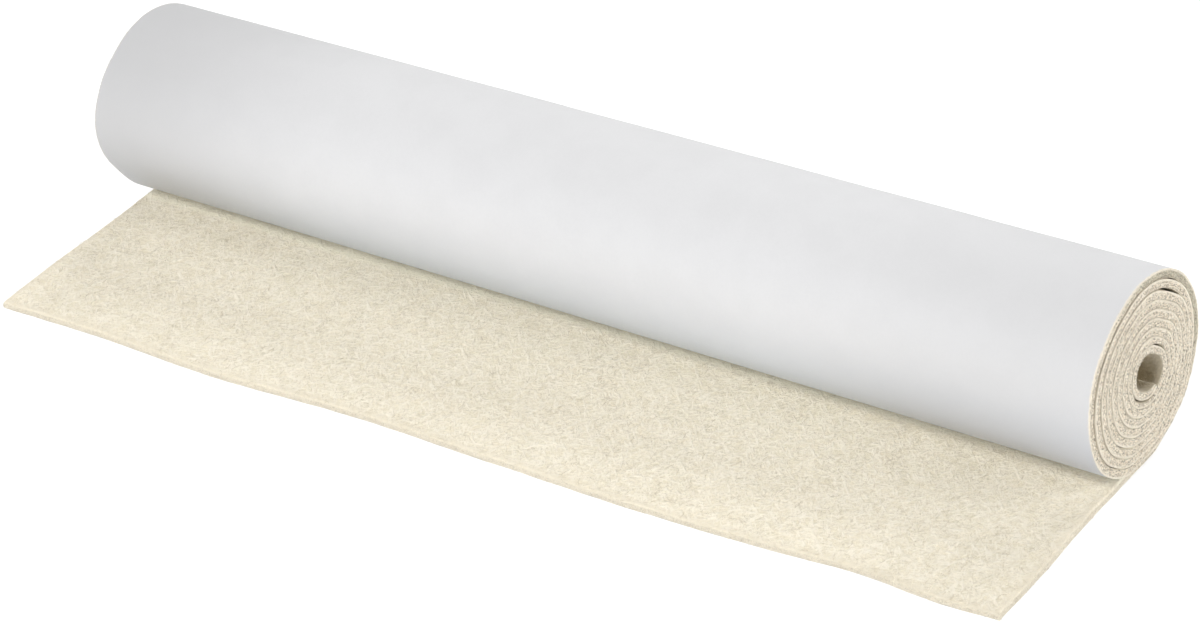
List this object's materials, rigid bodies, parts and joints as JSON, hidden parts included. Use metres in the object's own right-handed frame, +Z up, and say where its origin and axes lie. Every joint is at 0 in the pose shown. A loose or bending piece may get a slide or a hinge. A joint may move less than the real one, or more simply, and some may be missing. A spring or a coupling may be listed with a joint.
{
  "type": "roll of felt with a loose end",
  "caption": "Roll of cream flecked wool felt with a matt white backing, wound backing out round an open core, its loose end laid out flat, felt side up.",
  "frame": {"origin": "on the surface that the roll rests on, under the middle of the whole object's box", "axes": "+X along the roll, +Y from the loose end towards the back of the roll, +Z up"},
  "size_m": [0.4524, 0.1462, 0.0754],
  "materials": {
    "felt": "needled wool felt, cream with soft grey-olive flecks, fuzzy and dull",
    "backing": "smooth matt white release paper, bonded to the felt"
  },
  "bodies": {
    "root": {"felt": "felt", "backing": "backing"}
  },
  "joints": []
}
